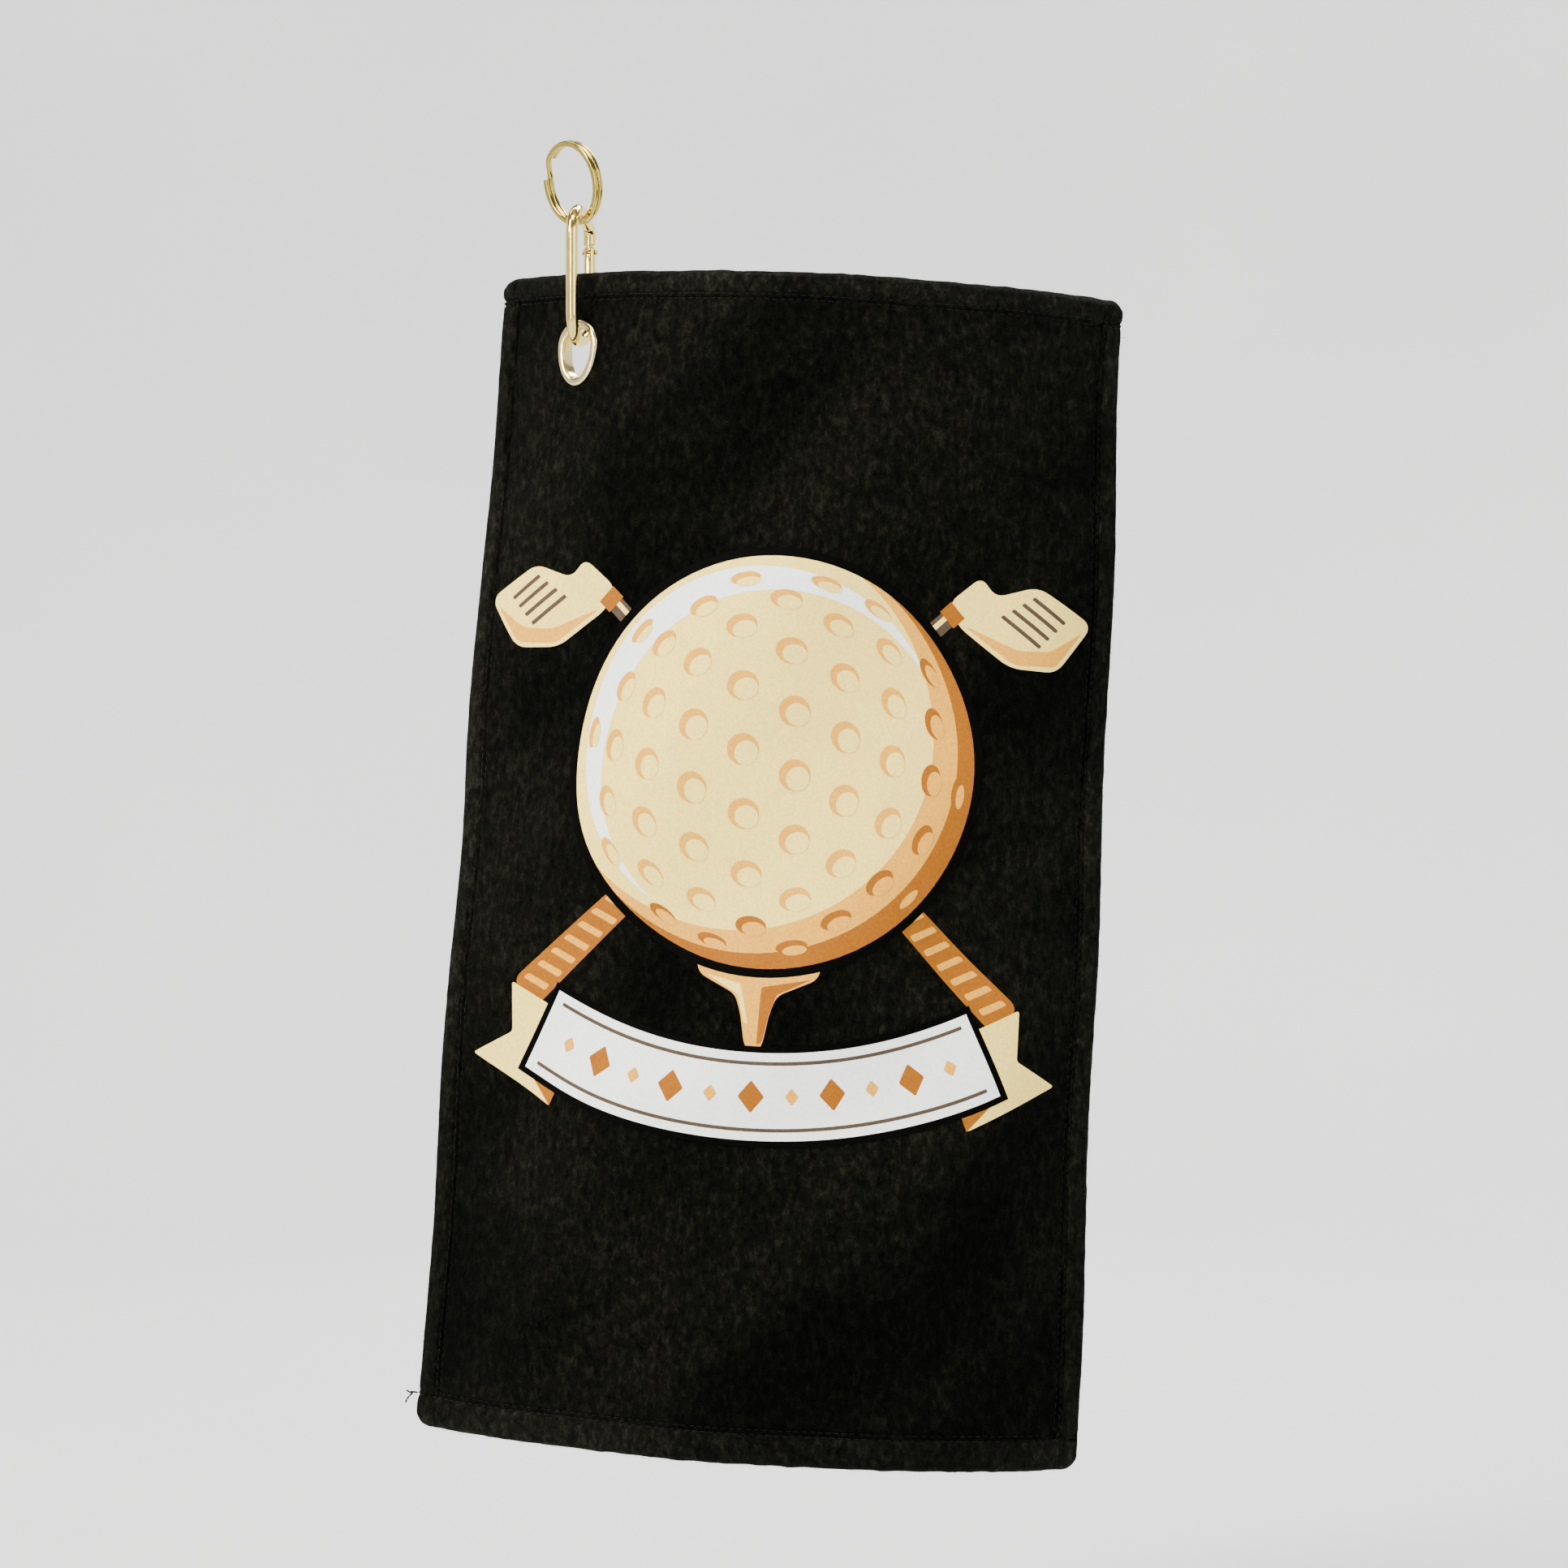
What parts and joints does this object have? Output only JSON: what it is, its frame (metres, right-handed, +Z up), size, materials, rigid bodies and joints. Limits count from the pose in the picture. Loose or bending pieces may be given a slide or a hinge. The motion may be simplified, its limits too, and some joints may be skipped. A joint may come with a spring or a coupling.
{
  "type": "golf towel",
  "caption": "Hemmed dark velour golf towel hanging by an oval brass corner eyelet on a gated snap clip and a double-turn split ring.",
  "frame": {"origin": "the split ring's inner face at its highest point, where something outside holds the towel up", "axes": "+Z up, +X to the right seen from the towel's face, and the towel's face looks along -Y"},
  "size_m": [0.2796, 0.0751, 0.5186],
  "materials": {
    "velour": "soft short-napped velour",
    "thread": "matt polyester thread",
    "eyelet_brass": "pale plated, satin polished",
    "clip_brass": "polished",
    "ring_brass": "polished",
    "pin_brass": "polished",
    "spring_steel": "drawn wire"
  },
  "bodies": {
    "ring": {"split_ring": "ring_brass"},
    "clip": {"clip_body": "clip_brass"},
    "gate": {"clip_gate": "clip_brass", "gate_pivot_rivet": "pin_brass", "gate_latch_pin": "pin_brass", "spring_plunger": "spring_steel", "gate_spring": "spring_steel"},
    "towel": {"towel_panel": "velour", "top_hem": "velour", "bottom_hem": "velour", "left_hem": "velour", "right_hem": "velour", "top_stitching": "thread", "bottom_stitching": "thread", "left_stitching": "thread", "right_stitching": "thread", "eyelet_front": "eyelet_brass", "eyelet_washer": "eyelet_brass"}
  },
  "joints": [
    {"name": "clip_swing", "type": "hinge", "parent": "ring", "child": "clip", "pos_m": [0.00493, 0.00413, -0.03497], "axis": [0.9744, -0.225, 0], "range_deg": [-20, 20]},
    {"name": "gate_open", "type": "hinge", "parent": "clip", "child": "gate", "pos_m": [0.00823, 0.01846, -0.06062], "axis": [0.9744, -0.225, 0], "range_deg": [0, 17], "stiffness_Nm_per_rad": 0.2, "springref_deg": -17.19},
    {"name": "towel_swing", "type": "hinge", "parent": "clip", "child": "towel", "pos_m": [0.0059, 0.00391, -0.06907], "axis": [0.9744, -0.225, 0], "range_deg": [-6, 6]}
  ]
}
